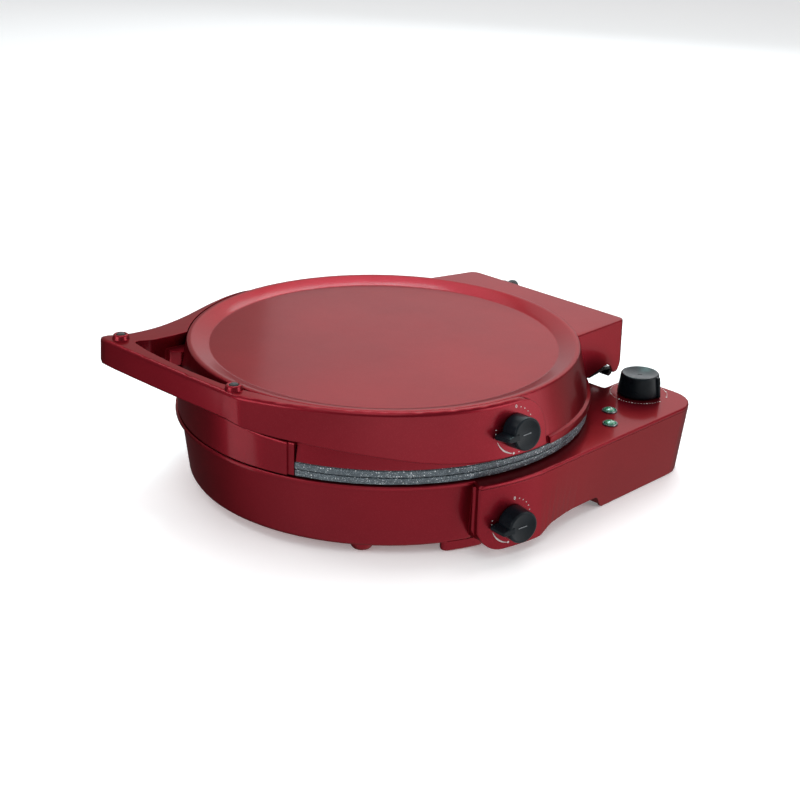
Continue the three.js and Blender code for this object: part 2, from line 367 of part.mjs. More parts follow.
const housingHollow = cut(housingIn, sideUnder.translate([0, 0, 2.4]).intersect(box(60, 400, -300, 88, -20, 60)), box(-300, 128.4, -300, 300, -20, Z_COVER + 2.6), box(100, 207, -300, 90, -20, Z_COVER + 2.6));
const compartment = prism(rounded([[140, 108], [204, 108], [204, 222, 16], [133, 222, 3], [133, 150, 3]], 5), Z_COVER - 10, Z_COVER + 4);
let shell = cut(shellOuter, bowlHollow, housingHollow, compartment.intersect(housingIn), vents, shaftLow, glandBase, glandMains, bracketHoles);
node("base_shell", shell, RED);

// ---------- cover under the control compartment ----------
node("control_cover", cut(prism(rounded([[141, 109.5], [201, 109.5], [201, 220, 15], [135, 220, 3], [135, 151, 3]], 5), Z_COVER - 1.6, Z_COVER + 0.4), ...[0, 1, 2, 3].map((k) => box(150, 186, 168 + k * 10, 172 + k * 10, 0, 20))), DARK);

// ---------- hinge: bracket on the base, two straps under the lid, one rod ----------
const yz = (pts, x0, x1) => solid(new THREE.ExtrudeGeometry(new THREE.Shape(pts.map(([y, z]) => new THREE.Vector2(y, z))), { depth: x1 - x0, bevelEnabled: false })
  .applyMatrix4(new THREE.Matrix4().set(0, 0, 1, x0, 1, 0, 0, 0, 0, 1, 0, 0, 0, 0, 0, 1)));
const pinHole = (r, x0, x1) => yz(arc(r, 0, 342, 19, HINGE_Y, HINGE_Z), x0, x1);
const T = 2.6; // pressed steel
// strip of thickness T along a centre line in the YZ plane
function strip(line, x0, x1) {
  const side = (k) => line.map(([y, z], i) => {
    const [ay, az] = line[Math.max(i - 1, 0)], [by, bz] = line[Math.min(i + 1, line.length - 1)], l = Math.hypot(by - ay, bz - az);
    return [y - (k * (bz - az)) / l, z + (k * (by - ay)) / l];
  });
  return yz([...side(-T / 2), ...side(T / 2).reverse()], x0, x1);
}
const curl = (from, to, n) => arc(BARREL_R - T / 2, from, to, n, HINGE_Y, HINGE_Z);
const strapRight = [[188, 131.7], [176, 131.7], [173.4, 130.9], [172.4, 128.6], [172.4, 90.4], [173.4, 87], [176.4, 86], [188, 87.4], [199, 88.9], [204, 88.6], ...curl(104, -150, 18)];
const strapLeft = [[174, 131.7], [188, 131.7], [190.8, 130.8], [191.8, 128.4], [191.8, 94], [193.2, 90.6], [196.4, 89.2], [200, 89], [204, 88.6], ...curl(104, -150, 18)];
const strapHole = ([x, y]) => moved(rod(2.3, 128, 135, 12), at(x, y));
node("hinge_strap_right", cut(strip(strapRight, 109, 118.2), strapHole(strapAt[0])), BLACK);
node("hinge_strap_left", cut(strip(strapLeft, -78.4, -69.6), strapHole(strapAt[1])), BLACK);
const lug = (x0, x1) => yz([[190.4, 66], [193, 66], [193, 74.6], [203, 76.8], [206, 79.6], ...arc(5, -60, 120, 9, HINGE_Y, HINGE_Z), [201, 87], [193, 82.6], [190.4, 80]], x0, x1);
const bracketPlate = join(box(-82, -64.5, 190.4, 193, 46, 74), box(-66, -8, 190.4, 193, 66, 74), box(-9.5, 104, 190.4, 193, 46, 74));
node("hinge_bracket", cut(join(bracketPlate, lug(94, 96.8), lug(-68.4, -65.6)), pinHole(2.6, -90, 130), ...bracketScrewAt.map(([x, z]) => moved(rod(2.3, -4, 8, 12), rearward(x, 190, z)))), BLACK);
node("hinge_rod", yz(arc(PIN_R, 0, 337.5, 15, HINGE_Y, HINGE_Z), -79.6, 119.6), STEEL);

// ---------- screws ----------
const screw = (len) => lathe([[0, 0], [1.7, 0], [1.7, len], [3.5, len], [3.5, len + 1.4], [2.6, len + 2.2], [0, len + 2.2]], 8);
const flatScrew = (len) => lathe([[0, 0], [1.7, 0], [1.7, len], [3.5, len], [3.5, len + 0.5], [2.7, len + 1.1], [0, len + 1.1]], 8);
const downward = (x, y, z) => new THREE.Matrix4().makeRotationX(Math.PI).setPosition(x, y, z);
strapAt.forEach(([x, y], i) => node(["strap_screw_right", "strap_screw_left"][i], moved(screw(6.5), downward(x, y, 136.6)), STEEL));
bracketScrewAt.forEach(([x, z], i) => node(["bracket_screw_right", "bracket_screw_middle", "bracket_screw_left"][i], moved(flatScrew(8), rearward(x, 185.3, z)), STEEL));
coverScrewAt.forEach(([x, y], i) => node(["cover_screw_bar", "cover_screw_arm"][i], moved(screw(12), downward(x, y, 127.5)), STEEL));
LUGS.forEach(([x, y], i) => node("upper_reflector_screw_" + (i + 1), moved(screw(8.3), at(x, y, 107)), STEEL));
LUGS.forEach(([x, y], i) => node("lower_reflector_screw_" + (i + 1), moved(screw(8.3), downward(x, y, 51)), STEEL));

// ---------- thermostats with their shafts and dials ----------
const thermostat = join(
  lathe([[0, -20], [11.8, -20], [11.8, -8.4], [4.2, -8.4], [4.2, -0.6], [3, -0.6], [3, -7.4], [0, -7.4]], 24),
  box(-3, 3, -8.4, -7.6, -27, -19.5), box(-3, 3, 7.6, 8.4, -27, -19.5));
const shaft = lathe([[0, -7.1], [2.6, -7.1], [2.6, 9], [2.2, 9.4], [0, 9.4]], 14);
// pointer rib down the side of a knob: reach at the foot and at the face, inner end, half widths inside and outside, heights
const knobFin = (r0, r1, ri, w0, w1, z0, z1) => {
  const ring = (r, d) => [[ri, -w0 + d], [r - 5, -w1 - 0.5 + d], [r - 1.5, -w1 + d], [r - 0.3, -w1 * 0.55], [r, 0], [r - 0.3, w1 * 0.55], [r - 1.5, w1 - d], [r - 5, w1 + 0.5 - d], [ri, w0 - d]];
  return loft([lift(ring(r0, 0), z0), lift(ring(r1, 0.3), z1 - 1), lift(ring(r1 - 0.9, 0.9), z1)]);
};
const spun = (a) => new THREE.Matrix4().makeRotationZ(rad(a));
const DIAL_REST = 95; // fin of the dials: this far round from the top, towards the front
const dial = cut(
  join(lathe([[0, 0.8], [KNOB_R - 0.4, 0.8], [KNOB_R, 1.4], [KNOB_R - 0.4, KNOB_H - 1.4], [KNOB_R - 1, KNOB_H - 0.4], [KNOB_R - 2, KNOB_H], [KNOB_R - 3.2, KNOB_H - 0.4], [7, KNOB_H - 1.6], [0, KNOB_H - 1.8]], 36),
    moved(knobFin(24.2, 22.6, 9.6, 3.6, 2.5, 0.9, KNOB_H + 0.1), spun(DIAL_REST))),
  rod(2.9, -1, 9.8, 14));
node("upper_thermostat", moved(thermostat, upDial), STEEL);
node("upper_dial_shaft", moved(shaft, upDial), STEEL);
node("upper_dial", moved(dial, upDial), BLACK);
node("lower_thermostat", moved(thermostat, loDial), STEEL);
node("lower_dial_shaft", moved(shaft, loDial), STEEL);
node("lower_dial", moved(dial, loDial), BLACK);

// ---------- timer ----------
const onPanel = at(TIMER.x, TIMER.y, Z_FRAME);
node("timer_mechanism", moved(cut(join(prism(rounded([[-23, -22, 3], [23, -22, 3], [23, 20.5, 3], [-23, 20.5, 3]], 3), -36, -5), rod(14, -5.5, -4.4, 20), rod(4.2, -4.8, -0.6, 16), box(-14, -8, -22.5, -21.5, -48, -35), box(8, 14, -22.5, -21.5, -48, -35)),
  rod(3.1, -4, 1, 16)), onPanel), STEEL);
node("timer_shaft", moved(rod(2.7, -3.7, 10, 14), onPanel), BRASS);
node("timer_knob", moved(cut(
  join(lathe([[0, 0.8], [TIMER.r0 - 0.6, 0.8], [TIMER.r0, 1.5], [TIMER.r0 - 0.1, 3], [TIMER.r1 + 0.3, TIMER.h - 1.4], [TIMER.r1 - 0.4, TIMER.h - 0.3], [TIMER.r1 - 1.4, TIMER.h], [TIMER.r1 - 3, TIMER.h - 0.5], [9, TIMER.h - 2.2], [0, TIMER.h - 2.4]], 34),
    moved(knobFin(24.2, 22.4, 14.5, 3.6, 2, 1.2, TIMER.h - 0.7), spun(TIMER.az))),
  rod(3, -1, 10.4, 20), moved(box(-2.4, 2.4, -0.5, 0.5, TIMER.h - 3, TIMER.h), spun(TIMER.az + 35))), onPanel), BLACK);

// ---------- lamps ----------
LAMPS.forEach(([x, y], i) => {
  const n = ["rear", "front"][i];
  node("lamp_lens_" + n, moved(lathe([[0, -13], [6, -13], [6, 1], [5.5, 2], [3.8, 2.9], [0, 3.4]], 20), at(x, y, Z_FRAME)), GREEN);
  node("lamp_bezel_" + n, moved(lathe([[6.35, 0.3], [7.6, 0.3], [7.6, 0.8], [7.1, 1.4], [6.35, 1.4]], 22, true), at(x, y, Z_FRAME)), STEEL);
});

// ---------- lead between the housings, its bushes, and the mains cord gland ----------
const bush = (y0, y1, hole) => lathe([[hole, y0], [5.9, y0], [5.9, y1 - 5.2], [8.2, y1 - 5.2], [8.2, y1 - 3.4], [6.4, y1], [hole, y1]], 14, true);
node("lead_bush_lid", moved(bush(-4, 5.6, LEAD_R + 0.3), rearward(LEAD_X, BLOCK.rear, LEAD_Z)), RUBBER);
node("lead_bush_base", moved(bush(-4, 5.6, LEAD_R + 0.3), rearward(LEAD_X, 177, 24)), RUBBER);
node("lid_lead", tube([[LEAD_X, 170, 24], [LEAD_X, 177, 24], [LEAD_X, 184, 24], [LEAD_X - 2, 190.4, 28.6], [LEAD_X - 4, 191.4, 40], [LEAD_X - 5, 193, 52], [LEAD_X - 6, 204, 63], [LEAD_X - 6, 222, 76],
  [LEAD_X - 5, 235, 95], [LEAD_X - 3, 241, 118], [LEAD_X - 1, 239.4, 129.5], [LEAD_X, 233, 133.4], [LEAD_X, 226.4, LEAD_Z], [LEAD_X, 220, LEAD_Z], [LEAD_X, 212, LEAD_Z]], LEAD_R, 8, 32), BLACK);
node("mains_gland", moved(lathe([[3.6, -5], [5.8, -5], [5.8, 0.2], [8.6, 0.2], [8.6, 2.4], [6.8, 4], [5.4, 9], [3.6, 9]], 16, true), mainsFrame), RUBBER);

export default root;
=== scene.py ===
import json
import math
import bpy
import bmesh
from mathutils import Matrix, Vector
from mathutils.bvhtree import BVHTree


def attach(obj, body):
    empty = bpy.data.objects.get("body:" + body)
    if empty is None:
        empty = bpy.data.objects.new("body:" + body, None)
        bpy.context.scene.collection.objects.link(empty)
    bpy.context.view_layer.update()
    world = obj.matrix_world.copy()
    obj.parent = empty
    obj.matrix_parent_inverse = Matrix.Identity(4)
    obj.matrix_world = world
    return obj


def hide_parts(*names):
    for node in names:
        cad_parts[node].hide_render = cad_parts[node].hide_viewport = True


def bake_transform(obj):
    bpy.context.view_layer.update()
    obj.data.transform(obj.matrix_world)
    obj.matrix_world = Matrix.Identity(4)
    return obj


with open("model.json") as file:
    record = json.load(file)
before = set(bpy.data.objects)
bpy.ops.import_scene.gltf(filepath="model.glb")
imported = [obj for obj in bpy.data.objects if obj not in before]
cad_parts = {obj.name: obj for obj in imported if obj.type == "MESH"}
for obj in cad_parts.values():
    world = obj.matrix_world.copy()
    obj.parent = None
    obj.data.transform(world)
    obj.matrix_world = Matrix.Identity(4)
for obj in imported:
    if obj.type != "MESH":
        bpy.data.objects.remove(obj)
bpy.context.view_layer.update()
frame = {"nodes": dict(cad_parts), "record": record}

NODES = frame["nodes"]
BODY_OF = {n: b for b, ns in frame["record"]["behaviour"]["bodies"].items() for n in ns}
SLOT_OF = {s["node"]: s["material_slot"] for s in frame["record"]["subparts"]}

# round axis of the cooker in the frame, millimetres, as in the CAD
SHIFT = Vector((-14.53, -17.86, 0.0))


def mm(x, y, z):
    """A point given about the round axis, in millimetres, as a frame point in metres."""
    return (Vector((x, y, z)) + SHIFT) / 1000.0


# ------------------------------------------------------------------ materials
class Tree:
    """Small helper to write a node material."""

    def __init__(self, name):
        self.mat = bpy.data.materials.new(name)
        self.mat.use_nodes = True
        self.nt = self.mat.node_tree
        self.nt.nodes.clear()
        self.out = self.nt.nodes.new("ShaderNodeOutputMaterial")
        self.bsdf = self.nt.nodes.new("ShaderNodeBsdfPrincipled")
        self.nt.links.new(self.bsdf.outputs[0], self.out.inputs[0])
        self.co = self.nt.nodes.new("ShaderNodeTexCoord").outputs["Object"]

    def node(self, kind, **props):
        n = self.nt.nodes.new(kind)
        for k, v in props.items():
            setattr(n, k, v)
        return n

    def link(self, a, b):
        self.nt.links.new(a, b)

    def noise(self, scale, detail=2.0, rough=0.5, stretch=None):
        n = self.node("ShaderNodeTexNoise")
        n.inputs["Scale"].default_value = scale
        n.inputs["Detail"].default_value = detail
        n.inputs["Roughness"].default_value = rough
        if stretch:
            m = self.node("ShaderNodeMapping")
            m.inputs["Scale"].default_value = stretch
            self.link(self.co, m.inputs[0])
            self.link(m.outputs[0], n.inputs["Vector"])
        else:
            self.link(self.co, n.inputs["Vector"])
        return n.outputs[0]

    def voronoi(self, scale, feature="F1", output="Distance", randomness=1.0):
        n = self.node("ShaderNodeTexVoronoi", feature=feature)
        n.inputs["Scale"].default_value = scale
        n.inputs["Randomness"].default_value = randomness
        self.link(self.co, n.inputs["Vector"])
        return n.outputs[output]

    def remap(self, value, a, b, c, d):
        n = self.node("ShaderNodeMapRange")
        for i, v in zip(range(1, 5), (a, b, c, d)):
            n.inputs[i].default_value = v
        self.link(value, n.inputs[0])
        return n.outputs[0]

    def ramp(self, value, stops):
        n = self.node("ShaderNodeValToRGB")
        e = n.color_ramp.elements
        while len(e) < len(stops):
            e.new(0.5)
        for s, (p, c) in zip(e, stops):
            s.position = p
            s.color = (*c, 1.0)
        self.link(value, n.inputs[0])
        return n.outputs[0]

    def mix(self, fac, a, b):
        n = self.node("ShaderNodeMix", data_type="RGBA")
        if isinstance(fac, float):
            n.inputs[0].default_value = fac
        else:
            self.link(fac, n.inputs[0])
        for sock, v in ((n.inputs[6], a), (n.inputs[7], b)):
            if isinstance(v, tuple):
                sock.default_value = (*v, 1.0)
            else:
                self.link(v, sock)
        return n.outputs[2]

    def math(self, op, a, b=None):
        n = self.node("ShaderNodeMath", operation=op)
        for i, v in enumerate((a, b)):
            if v is None:
                continue
            if isinstance(v, (int, float)):
                n.inputs[i].default_value = v
            else:
                self.link(v, n.inputs[i])
        return n.outputs[0]

    def bump(self, height, strength, distance, normal=None):
        n = self.node("ShaderNodeBump")
        n.inputs["Strength"].default_value = strength
        n.inputs["Distance"].default_value = distance
        self.link(height, n.inputs["Height"])
        if normal is not None:
            self.link(normal, n.inputs["Normal"])
        return n.outputs[0]

    def set(self, **values):
        for k, v in values.items():
            sock = self.bsdf.inputs[k.replace("_", " ")]
            if isinstance(v, tuple):
                sock.default_value = (*v, 1.0) if len(v) == 3 else v
            elif isinstance(v, (int, float)):
                sock.default_value = v
            else:
                self.link(v, sock)
        return self


def red_paint(name, deep=(0.142, 0.0042, 0.0102), bright=(0.172, 0.0058, 0.0128), rough=0.35):
    """Wine red metallic lacquer on moulded plastic: fine flakes, a broad colour drift and a faint orange peel under a clear coat."""
    t = Tree(name)
    drift = t.noise(9.0, 3.0, 0.55)
    base = t.ramp(drift, [(0.3, deep), (0.7, bright)])
    cell = t.voronoi(2300.0, output="Color")
    sep = t.node("ShaderNodeSeparateColor")
    t.link(cell, sep.inputs[0])
    spark = t.math("GREATER_THAN", sep.outputs[0], 0.88)
    col = t.mix(t.math("MULTIPLY", spark, 0.14), base, (0.36, 0.04, 0.055))
    fine = t.noise(3200.0, 1.0, 0.5)
    col = t.mix(t.math("MULTIPLY", fine, 0.12), col, (0.22, 0.014, 0.02))
    smudge = t.noise(24.0, 4.0, 0.6)
    t.set(Base_Color=col, Metallic=0.86, Roughness=t.remap(smudge, 0.3, 0.7, rough - 0.015, rough + 0.02), Coat_Weight=0.17, Coat_Roughness=0.12, Coat_IOR=1.5, Specular_IOR_Level=0.4, Specular_Tint=(0.42, 0.2, 0.23))
    peel = t.noise(520.0, 2.0, 0.5)
    edge = t.node("ShaderNodeBevel", samples=4)
    edge.inputs["Radius"].default_value = 0.0009
    t.set(Normal=t.bump(fine, 0.02, 0.0001, t.bump(peel, 0.03, 0.0002, edge.outputs[0])))
    return t.mat


def stone_coat(name):
    """Dark blue-grey non-stick coat with pale grains of several sizes, slightly pebbled."""
    t = Tree(name)
    cloud = t.noise(60.0, 5.0, 0.65)
    base = t.ramp(cloud, [(0.3, (0.018, 0.027, 0.034)), (0.7, (0.05, 0.066, 0.078))])
    for scale, keep, size, colour, strength in ((1500.0, 0.7, 0.5, (0.2, 0.25, 0.28), 0.8), (900.0, 0.86, 0.38, (0.5, 0.55, 0.58), 0.8), (620.0, 0.93, 0.34, (0.72, 0.75, 0.76), 0.85)):
        d = t.voronoi(scale)
        c = t.voronoi(scale, output="Color")
        sep = t.node("ShaderNodeSeparateColor")
        t.link(c, sep.inputs[0])
        spot = t.math("MULTIPLY", t.math("GREATER_THAN", sep.outputs[1], keep), t.math("LESS_THAN", d, size))
        base = t.mix(t.math("MULTIPLY", spot, strength), base, colour)
    grit = t.noise(1100.0, 3.0, 0.6)
    t.set(Base_Color=base, Metallic=0.0, Roughness=t.remap(cloud, 0.3, 0.7, 0.36, 0.52), Specular_IOR_Level=0.5)
    t.set(Normal=t.bump(grit, 0.2, 0.0002))
    return t.mat


def black_plastic(name, low=(0.0018, 0.0036, 0.0052), high=(0.004, 0.0072, 0.0104), rough=0.3, grain=900.0, coat=0.0, level=0.12):
    t = Tree(name)
    drift = t.noise(60.0, 3.0, 0.6)
    t.set(Base_Color=t.ramp(drift, [(0.3, low), (0.75, high)]), Roughness=t.remap(t.noise(130.0, 3.0), 0.3, 0.7, rough - 0.04, rough + 0.07), Coat_Weight=coat, Coat_Roughness=0.18, Specular_IOR_Level=level)
    t.set(Normal=t.bump(t.noise(grain, 2.0, 0.6), 0.07, 0.00015))
    return t.mat


def metal(name, low, high, rough, brushed=(1.0, 1.0, 60.0), scale=28.0, metallic=1.0):
    t = Tree(name)
    streak = t.noise(scale, 4.0, 0.6, stretch=brushed)
    t.set(Base_Color=t.ramp(streak, [(0.3, low), (0.7, high)]), Metallic=metallic, Roughness=t.remap(streak, 0.25, 0.75, rough - 0.06, rough + 0.1))
    t.set(Normal=t.bump(streak, 0.06, 0.0001))
    return t.mat


def rubber(name):
    t = Tree(name)
    n = t.noise(320.0, 4.0, 0.7)
    t.set(Base_Color=t.ramp(n, [(0.3, (0.007, 0.0075, 0.008)), (0.7, (0.02, 0.021, 0.022))]), Roughness=t.remap(n, 0.3, 0.7, 0.6, 0.82))
    t.set(Normal=t.bump(n, 0.16, 0.0002))
    return t.mat


def green_lens(name):
    """Lamp lens: green, clear-coated, with fine moulded rings."""
    t = Tree(name)
    n = t.noise(420.0, 2.0)
    ring = t.node("ShaderNodeTexWave", wave_type="RINGS", rings_direction="SPHERICAL")
    ring.inputs["Scale"].default_value = 190.0
    ring.inputs["Distortion"].default_value = 0.6
    t.link(t.co, ring.inputs["Vector"])
    col = t.ramp(n, [(0.3, (0.002, 0.09, 0.04)), (0.7, (0.006, 0.2, 0.1))])
    t.set(Base_Color=t.mix(t.math("MULTIPLY", ring.outputs[1], 0.18), col, (0.04, 0.36, 0.2)), Roughness=t.remap(n, 0.3, 0.7, 0.08, 0.16), Coat_Weight=0.45, Coat_Roughness=0.05, Emission_Color=(0.02, 0.4, 0.2), Emission_Strength=0.03)
    t.set(Normal=t.bump(ring.outputs[1], 0.1, 0.0002))
    return t.mat


def ink(name, low, high):
    t = Tree(name)
    n = t.noise(1500.0, 2.0)
    t.set(Base_Color=t.ramp(n, [(0.3, low), (0.7, high)]), Roughness=t.remap(n, 0.3, 0.7, 0.4, 0.55))
    return t.mat


def braid(name):
    """Woven heat-resistant sleeve."""
    t = Tree(name)
    a = t.node("ShaderNodeTexWave", wave_type="BANDS", bands_direction="DIAGONAL")
    a.inputs["Scale"].default_value = 260.0
    a.inputs["Distortion"].default_value = 0.5
    t.link(t.co, a.inputs["Vector"])
    b = t.noise(700.0, 2.0)
    t.set(Base_Color=t.ramp(t.math("ADD", t.math("MULTIPLY", a.outputs[1], 0.6), t.math("MULTIPLY", b, 0.4)), [(0.2, (0.006, 0.006, 0.007)), (0.8, (0.035, 0.036, 0.038))]), Roughness=t.remap(b, 0.3, 0.7, 0.5, 0.7))
    t.set(Normal=t.bump(a.outputs[1], 0.4, 0.0004))
    return t.mat


MATS = {
    "red_shell": red_paint("red_lacquer"),
    "stone": stone_coat("stone_coat"),
    "black": black_plastic("black_satin"),
    "black_steel": black_plastic("black_enamelled_steel", rough=0.34, grain=300.0, coat=0.2),
    "bright_steel": metal("plated_steel", (0.42, 0.42, 0.43), (0.62, 0.62, 0.63), 0.3),
    "reflector": metal("pressed_aluminium", (0.6, 0.61, 0.62), (0.78, 0.79, 0.8), 0.28, (3.0, 40.0, 3.0)),
    "element": metal("heat_tinted_sheath", (0.06, 0.05, 0.045), (0.2, 0.17, 0.15), 0.45, (1.0, 1.0, 1.0), 60.0),
    "case_steel": metal("switch_case", (0.3, 0.3, 0.3), (0.48, 0.48, 0.47), 0.36, (30.0, 2.0, 2.0)),
    "rubber": rubber("black_rubber"),
    "lens": green_lens("green_lens"),
    "bezel": metal("bright_ring", (0.1, 0.11, 0.11), (0.2, 0.21, 0.21), 0.3, (2.0, 2.0, 30.0)),
    "brass": metal("turned_brass", (0.48, 0.32, 0.12), (0.68, 0.5, 0.24), 0.26),
    "lead": braid("woven_sleeve"),
}
INK = ink("pale_ink", (0.42, 0.40, 0.39), (0.62, 0.6, 0.58))
GREY_INK = ink("grey_ink", (0.08, 0.09, 0.1), (0.17, 0.18, 0.19))

for n, o in NODES.items():
    o.data.materials.clear()
    o.data.materials.append(MATS[SLOT_OF[n]])


# ------------------------------------------------------------------ geometry helpers
def link(ob):
    bpy.context.scene.collection.objects.link(ob)
    return ob


def piece(name, verts, faces, mat, body, smooth=None, sharp=40.0):
    me = bpy.data.meshes.new(name)
    me.from_pydata([tuple(v) for v in verts], [], faces)
    me.validate()
    me.materials.append(mat)
    ob = link(bpy.data.objects.new(name, me))
    if smooth is not None:
        shade(me, sharp)
    if body:
        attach(ob, body)
    return ob


def shade(me, sharp):
    bm = bmesh.new()
    bm.from_mesh(me)
    for f in bm.faces:
        f.smooth = True
    for e in bm.edges:
        e.smooth = len(e.link_faces) == 2 and e.calc_face_angle(0.0) < math.radians(sharp)
    bm.to_mesh(me)
    bm.free()


def welded(node, dissolve=0.0):
    """A node's mesh with its vertices joined, as vertex and face lists."""
    bm = bmesh.new()
    bm.from_mesh(NODES[node].data)
    bmesh.ops.remove_doubles(bm, verts=bm.verts, dist=2e-6)
    bmesh.ops.dissolve_degenerate(bm, dist=1e-6, edges=bm.edges)
    if dissolve:
        bmesh.ops.dissolve_limit(bm, angle_limit=math.radians(dissolve), verts=bm.verts, edges=bm.edges, use_dissolve_boundaries=False)
    bm.verts.index_update()
    v = [x.co.copy() for x in bm.verts]
    f = [[q.index for q in p.verts] for p in bm.faces]
    bm.free()
    return v, f


AXIS = SHIFT / 1000.0


def even_normals(me, sharp):
    """Corner normals that follow the true curved surface: flat neighbours count once, and faces of round surfaces about the plate axis turn with the azimuth."""
    limit, same = math.cos(math.radians(sharp)), math.cos(math.radians(0.8))
    co = [v.co for v in me.vertices]
    info, around = [], [[] for _ in co]
    for poly in me.polygons:
        ids = list(poly.vertices)
        n, c = poly.normal.copy(), poly.center
        rx, ry = c.x - AXIS.x, c.y - AXIS.y
        r = math.hypot(rx, ry)
        turned = None
        if r > 0.03:
            ur, ut = (rx / r, ry / r), (-ry / r, rx / r)
            nt = n.x * ut[0] + n.y * ut[1]
            az = [math.atan2((co[i].y - AXIS.y) * ur[0] - (co[i].x - AXIS.x) * ur[1], (co[i].x - AXIS.x) * ur[0] + (co[i].y - AXIS.y) * ur[1]) for i in ids]
            if abs(nt) < 0.035 and max(az) - min(az) < 0.16:
                turned = (n.x * ur[0] + n.y * ur[1], n.z)
        info.append((n, poly.area, turned))
        m = len(ids)
        for k, i in enumerate(ids):
            e1, e2 = co[ids[k - 1]] - co[i], co[ids[(k + 1) % m]] - co[i]
            around[i].append((poly.index, e1.angle(e2, 0.0)))
    out = []
    for poly in me.polygons:
        nf = info[poly.index][0]
        for i in poly.vertices:
            vx, vy = co[i].x - AXIS.x, co[i].y - AXIS.y
            vr = math.hypot(vx, vy) or 1.0
            groups = []
            for g, ang in around[i]:
                ng, area, turned = info[g]
                if ng.dot(nf) < limit:
                    continue
                for q in groups:
                    if q[0].dot(ng) > same:
                        q[1] += ang
                        q[2] = max(q[2], area)
                        break
                else:
                    t = Vector((turned[0] * vx / vr, turned[0] * vy / vr, turned[1])) if turned else ng
                    groups.append([ng, ang, area, t])
            total = Vector((0, 0, 0))
            for _, ang, area, t in groups:
                total += t * (ang * area)
            out.append(total.normalized() if total.length > 1e-14 else nf)
    me.polygons.foreach_set("use_smooth", [True] * len(me.polygons))
    me.normals_split_custom_set(out)


def finished(node, sharp=50.0, mat=None):
    """The finished skin of a CAD node: joined vertices and even corner normals."""
    v, f = welded(node)
    ob = piece(node + "_skin", v, f, mat or MATS[SLOT_OF[node]], BODY_OF[node])
    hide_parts(node)
    even_normals(ob.data, sharp)
    return ob


SKINS = {}
for n in ("lid_shell", "handle_frame", "lid_skirt", "base_frame", "base_shell", "upper_plate", "lower_plate", "upper_dial", "lower_dial", "timer_knob", "lid_foot_left", "lid_foot_right",
          "lamp_lens_rear", "lamp_lens_front", "lamp_bezel_rear", "lamp_bezel_front", "hinge_strap_right", "hinge_strap_left", "hinge_bracket", "hinge_rod", "lead_bush_lid", "lead_bush_base", "mains_gland",
          "handle_bottom_cover", "control_cover"):
    SKINS[n] = finished(n)

# ------------------------------------------------------------------ marks round the dials
def dial_frame(az, r, z, tilt=0.0):
    a, t = math.radians(az), math.radians(tilt)
    n = Vector((math.cos(a) * math.cos(t), math.sin(a) * math.cos(t), math.sin(t)))
    up = Vector((-math.cos(a) * math.sin(t), -math.sin(a) * math.sin(t), math.cos(t)))
    return mm(math.cos(a) * r, math.sin(a) * r, z), up, n.cross(up), n


def tree_of(node):
    v, f = welded(node)
    return BVHTree.FromPolygons(v, f)


def decal(name, outlines, where, bvh, body, mat, height=0.12):
    """Thin raised print: each closed outline, in millimetres on the dial plane, is laid on the surface below it."""
    origin, ux, uy, n = where
    verts, faces = [], []
    for outline in outlines:
        pts = []
        for x, y in outline:
            p = origin + (ux * x + uy * y) / 1000.0
            hit = bvh.ray_cast(p + n * 0.03, -n, 0.08)
            pts.append(hit[0] if hit[0] is not None else p)
        k, m = len(verts), len(pts)
        verts += [p + n * height / 1000.0 for p in pts] + [p - n * 0.0001 for p in pts]
        faces.append([k + i for i in range(m)])
        faces.append([k + m + i for i in reversed(range(m))])
        for i in range(m):
            j = (i + 1) % m
            faces.append([k + i, k + m + i, k + m + j, k + j])
    # outward faces whatever the turn of the outline
    me_ob = piece(name, verts, faces, mat, body)
    bm = bmesh.new()
    bm.from_mesh(me_ob.data)
    bmesh.ops.recalc_face_normals(bm, faces=bm.faces)
    bm.to_mesh(me_ob.data)
    bm.free()
    return me_ob


def clock(r, deg):
    """Clockwise from the top, seen from outside: x up, y to the viewer's left."""
    a = math.radians(deg)
    return (r * math.cos(a), -r * math.sin(a))


def dot(cx, cy, r, n=12):
    return [(cx + r * math.cos(2 * math.pi * i / n), cy + r * math.sin(2 * math.pi * i / n)) for i in range(n)]


def arc_band(r0, r1, a0, a1, n=16):
    """Crescent or band as quads, so that it follows a curved face."""
    quads = []
    for i in range(n):
        s, e = a0 + (a1 - a0) * i / n, a0 + (a1 - a0) * (i + 1) / n
        ws, we = r0(i / n), r0((i + 1) / n)
        quads.append([clock(r1 - ws / 2, s), clock(r1 + ws / 2, s), clock(r1 + we / 2, e), clock(r1 - we / 2, e)])
    return quads


def zero(cx, cy, w, h, stroke, n=14):
    """The digit 0 as a ring of quads, upright at its place."""
    quads = []
    for i in range(n):
        a, b = 2 * math.pi * i / n, 2 * math.pi * (i + 1) / n
        o = lambda t, k: (cx + (h / 2 - k) * math.cos(t), cy + (w / 2 - k) * math.sin(t))
        quads.append([o(a, 0), o(b, 0), o(b, stroke), o(a, stroke)])
    return quads


